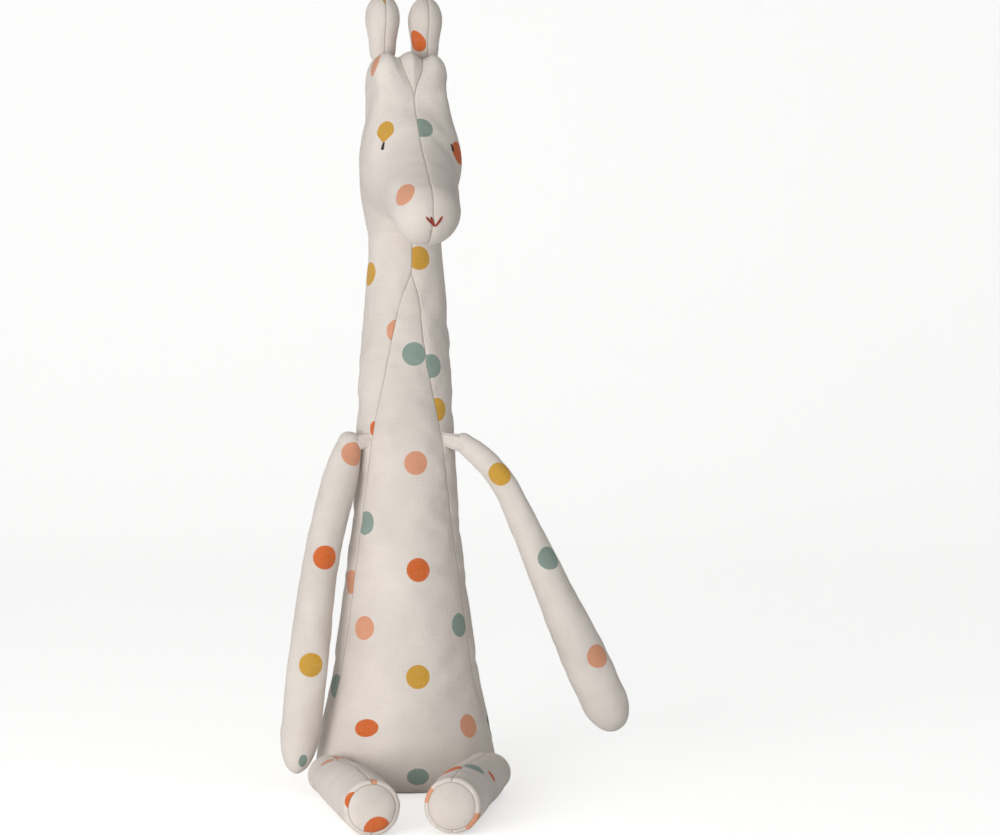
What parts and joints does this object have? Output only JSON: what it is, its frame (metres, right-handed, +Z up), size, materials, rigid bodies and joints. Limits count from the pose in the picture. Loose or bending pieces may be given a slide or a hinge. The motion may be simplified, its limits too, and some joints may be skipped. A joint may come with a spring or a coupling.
{
  "type": "plush giraffe",
  "caption": "Sitting stuffed giraffe in spotted cloth, long neck, jointed head, ears, arms, legs and tail, for display or as a soft toy.",
  "frame": {"origin": "centre of the flat seat under the body, on the surface that the toy sits on", "axes": "+Z up along the neck, -Y the way the toy faces, +X to the right of a viewer who looks at its face"},
  "size_m": [0.2075, 0.2437, 0.4713],
  "materials": {
    "spotted_cloth": "matte plain weave with printed dots",
    "filling": "loose fibre filling",
    "eye_thread": "satin stitch",
    "nose_thread": "embroidery thread",
    "tuft_yarn": "cotton yarn ends"
  },
  "bodies": {
    "body": {"body_front_gusset": "spotted_cloth", "body_left_side": "spotted_cloth", "body_right_side": "spotted_cloth", "body_base": "spotted_cloth", "body_stuffing": "filling"},
    "head": {"head_left_side": "spotted_cloth", "head_right_side": "spotted_cloth", "head_crown": "spotted_cloth", "head_stuffing": "filling", "left_eye": "eye_thread", "right_eye": "eye_thread", "nose_stitches": "nose_thread"},
    "left_ear": {"left_ear_outer": "spotted_cloth", "left_ear_inner": "spotted_cloth", "left_ear_stuffing": "filling"},
    "right_ear": {"right_ear_outer": "spotted_cloth", "right_ear_inner": "spotted_cloth", "right_ear_stuffing": "filling"},
    "left_shoulder": {"left_arm_tab": "spotted_cloth"},
    "left_arm": {"left_arm_front": "spotted_cloth", "left_arm_back": "spotted_cloth", "left_arm_stuffing": "filling"},
    "right_shoulder": {"right_arm_tab": "spotted_cloth"},
    "right_arm": {"right_arm_front": "spotted_cloth", "right_arm_back": "spotted_cloth", "right_arm_stuffing": "filling"},
    "left_leg": {"left_leg_outer_side": "spotted_cloth", "left_leg_inner_side": "spotted_cloth", "left_leg_sole": "spotted_cloth", "left_leg_stuffing": "filling"},
    "right_leg": {"right_leg_outer_side": "spotted_cloth", "right_leg_inner_side": "spotted_cloth", "right_leg_sole": "spotted_cloth", "right_leg_stuffing": "filling"},
    "tail": {"tail_tube": "spotted_cloth", "tail_tuft": "tuft_yarn"}
  },
  "joints": [
    {"name": "head_nod", "type": "hinge", "parent": "body", "child": "head", "pos_m": [0, 0, 0.345], "axis": [-0.9866, -0.1633, 0], "range_deg": [0, 25]},
    {"name": "left_ear_flop", "type": "hinge", "parent": "head", "child": "left_ear", "pos_m": [-0.01357, 0.00193, 0.44324], "axis": [0.1633, -0.9866, 0], "range_deg": [0, 35], "stiffness_Nm_per_rad": 0.02},
    {"name": "right_ear_flop", "type": "hinge", "parent": "head", "child": "right_ear", "pos_m": [0.01222, 0.0062, 0.4433], "axis": [-0.1633, 0.9866, 0], "range_deg": [0, 35], "stiffness_Nm_per_rad": 0.02},
    {"name": "left_arm_swing", "type": "hinge", "parent": "body", "child": "left_shoulder", "pos_m": [-0.03395, -0.0155, 0.203], "axis": [-1, 0, 0], "range_deg": [-20, 150]},
    {"name": "left_arm_lift", "type": "hinge", "parent": "left_shoulder", "child": "left_arm", "pos_m": [-0.03395, -0.0155, 0.203], "axis": [0, 1, 0], "range_deg": [0, 75]},
    {"name": "right_arm_swing", "type": "hinge", "parent": "body", "child": "right_shoulder", "pos_m": [0.03395, -0.0155, 0.203], "axis": [-1, 0, 0], "range_deg": [-20, 150]},
    {"name": "right_arm_lift", "type": "hinge", "parent": "right_shoulder", "child": "right_arm", "pos_m": [0.03395, -0.0155, 0.203], "axis": [0, -1, 0], "range_deg": [-12, 60]},
    {"name": "left_leg_swing", "type": "hinge", "parent": "body", "child": "left_leg", "pos_m": [-0.04421, -0.04992, 0.0148], "axis": [-0.9869, -0.1616, 0], "range_deg": [-90, 45]},
    {"name": "right_leg_swing", "type": "hinge", "parent": "body", "child": "right_leg", "pos_m": [0.04421, -0.04992, 0.0148], "axis": [-0.9732, 0.23, 0], "range_deg": [-90, 45]},
    {"name": "tail_swing", "type": "hinge", "parent": "body", "child": "tail", "pos_m": [0, 0.04589, 0.062], "axis": [1, 0, 0], "range_deg": [0, 70]}
  ]
}
